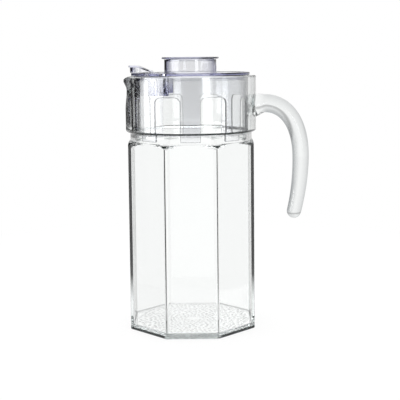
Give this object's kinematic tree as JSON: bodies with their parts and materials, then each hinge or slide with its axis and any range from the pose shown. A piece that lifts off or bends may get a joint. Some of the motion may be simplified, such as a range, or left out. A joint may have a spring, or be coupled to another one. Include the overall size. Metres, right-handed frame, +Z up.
{
  "type": "cold water jug",
  "caption": "Octagonal clear glass water jug with a round collar, small spout, open-ended glass handle and a clear drop-in lid with knob, pour flap and ice guard.",
  "frame": {"origin": "on the jug's axis, on the surface that it stands on", "axes": "+Z up along the jug's axis, -X towards the spout, +X towards the handle"},
  "size_m": [0.1593, 0.112, 0.2329],
  "materials": {
    "glass": "smooth pressed soda glass, faintly green in its edges",
    "clear_plastic": "clear moulded plastic, faintly blue-violet in its edges"
  },
  "bodies": {
    "jug": {"jug_body": "glass", "handle": "glass"},
    "lid": {"lid_cover": "clear_plastic", "knob_cap": "clear_plastic", "ice_guard": "clear_plastic"},
    "flap": {"pour_flap": "clear_plastic"}
  },
  "joints": [
    {"name": "lid_lift", "type": "slide", "parent": "jug", "child": "lid", "axis": [0, 0, 1], "range_m": [0, 0.12]},
    {"name": "flap_hinge", "type": "hinge", "parent": "lid", "child": "flap", "pos_m": [-0.0275, 0, 0.2174], "axis": [0, 1, 0], "range_deg": [0, 72]}
  ]
}
